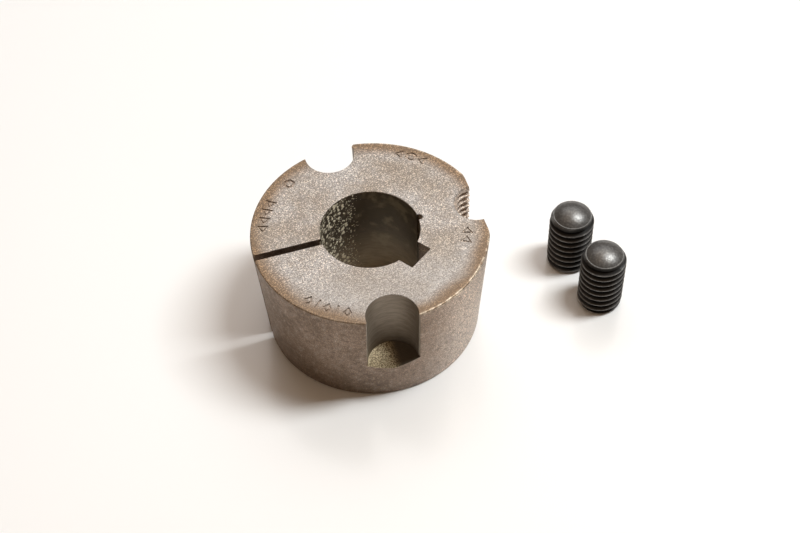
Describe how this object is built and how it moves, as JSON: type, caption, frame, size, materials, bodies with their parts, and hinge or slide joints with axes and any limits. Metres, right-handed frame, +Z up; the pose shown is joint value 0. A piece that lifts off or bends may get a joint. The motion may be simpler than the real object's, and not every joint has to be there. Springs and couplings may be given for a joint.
{
  "type": "taper bush",
  "caption": "Split taper bush with a keyed bore and plain and tapped half-holes around its rim, with its domed set screws standing beside it.",
  "frame": {"origin": "on the bore axis in the plane of the small end, which the bush stands on", "axes": "+Z up along the bore axis towards the large end, +X from the axis to the tapped half-hole, -X to the split"},
  "size_m": [0.0744, 0.0471, 0.0254],
  "materials": {
    "bush_iron": "satin, grey-brown phosphate on fine-grained iron",
    "screw_steel": "black oxide, semi-gloss"
  },
  "bodies": {
    "bush": {"taper_bush": "bush_iron"},
    "rear_screw": {"set_screw_rear": "screw_steel"},
    "front_screw": {"set_screw_front": "screw_steel"}
  },
  "joints": [
    {"name": "rear_screw_lift", "type": "slide", "parent": "bush", "child": "rear_screw", "axis": [0, 0, 1], "range_m": [0, 0.03]},
    {"name": "front_screw_lift", "type": "slide", "parent": "bush", "child": "front_screw", "axis": [0, 0, 1], "range_m": [0, 0.03]}
  ]
}
